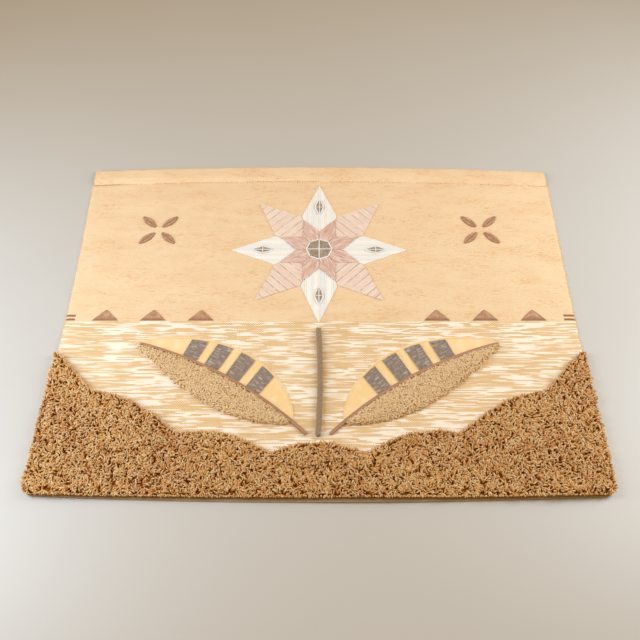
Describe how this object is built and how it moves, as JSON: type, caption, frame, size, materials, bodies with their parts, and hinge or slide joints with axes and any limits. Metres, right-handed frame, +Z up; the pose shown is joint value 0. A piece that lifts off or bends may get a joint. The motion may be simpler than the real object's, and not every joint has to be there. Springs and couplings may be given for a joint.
{
  "type": "textile wall hanging",
  "caption": "Woven wall hanging with a rod sleeve, shag pile along the bottom, and a sewn-on patchwork star with padded leaves on a rope stem, lying face up.",
  "frame": {"origin": "centre of the underside's outline, on the surface that the hanging lies on", "axes": "+X across the width, +Y from the bottom hem to the rod sleeve, +Z up out of the decorated face"},
  "size_m": [1.3054, 1.0002, 0.0253],
  "materials": {
    "ground_weave": "matte",
    "shag_wool": "matte",
    "short_pile": "matte",
    "tan_cloth": "matte",
    "taupe_cloth": "matte",
    "brown_cord": "matte",
    "twisted_rope": "matte",
    "white_canvas": "matte",
    "rose_canvas": "matte",
    "dusk_canvas": "matte",
    "brown_felt": "matte"
  },
  "bodies": {
    "root": {"ground_cloth": "ground_weave", "rod_sleeve": "ground_weave", "shag_pile": "shag_wool", "star_white_1": "white_canvas", "star_white_2": "white_canvas", "star_white_3": "white_canvas", "star_white_4": "white_canvas", "star_rose_1": "rose_canvas", "star_rose_2": "rose_canvas", "star_rose_3": "rose_canvas", "star_rose_4": "rose_canvas", "inner_star_1": "dusk_canvas", "inner_star_2": "dusk_canvas", "inner_star_3": "dusk_canvas", "inner_star_4": "dusk_canvas", "inner_star_5": "dusk_canvas", "inner_star_6": "dusk_canvas", "inner_star_7": "dusk_canvas", "inner_star_8": "dusk_canvas", "star_pane_1": "taupe_cloth", "star_pane_2": "taupe_cloth", "star_pane_3": "taupe_cloth", "star_pane_4": "taupe_cloth", "star_centre": "taupe_cloth", "leaf_pad_left": "short_pile", "leaf_pad_right": "short_pile", "leaf_cloth_left": "tan_cloth", "leaf_cloth_right": "tan_cloth", "leaf_bar_left_1": "taupe_cloth", "leaf_bar_left_2": "taupe_cloth", "leaf_bar_left_3": "taupe_cloth", "leaf_bar_left_4": "taupe_cloth", "leaf_bar_right_1": "taupe_cloth", "leaf_bar_right_2": "taupe_cloth", "leaf_bar_right_3": "taupe_cloth", "leaf_bar_right_4": "taupe_cloth", "leaf_midrib_left": "brown_cord", "leaf_midrib_right": "brown_cord", "stem_rope": "twisted_rope", "petal_left_1": "brown_felt", "petal_left_2": "brown_felt", "petal_left_3": "brown_felt", "petal_left_4": "brown_felt", "petal_right_1": "brown_felt", "petal_right_2": "brown_felt", "petal_right_3": "brown_felt", "petal_right_4": "brown_felt", "triangle_left_1": "brown_felt", "triangle_left_2": "brown_felt", "triangle_left_3": "brown_felt", "triangle_right_1": "brown_felt", "triangle_right_2": "brown_felt", "triangle_right_3": "brown_felt"}
  },
  "joints": []
}
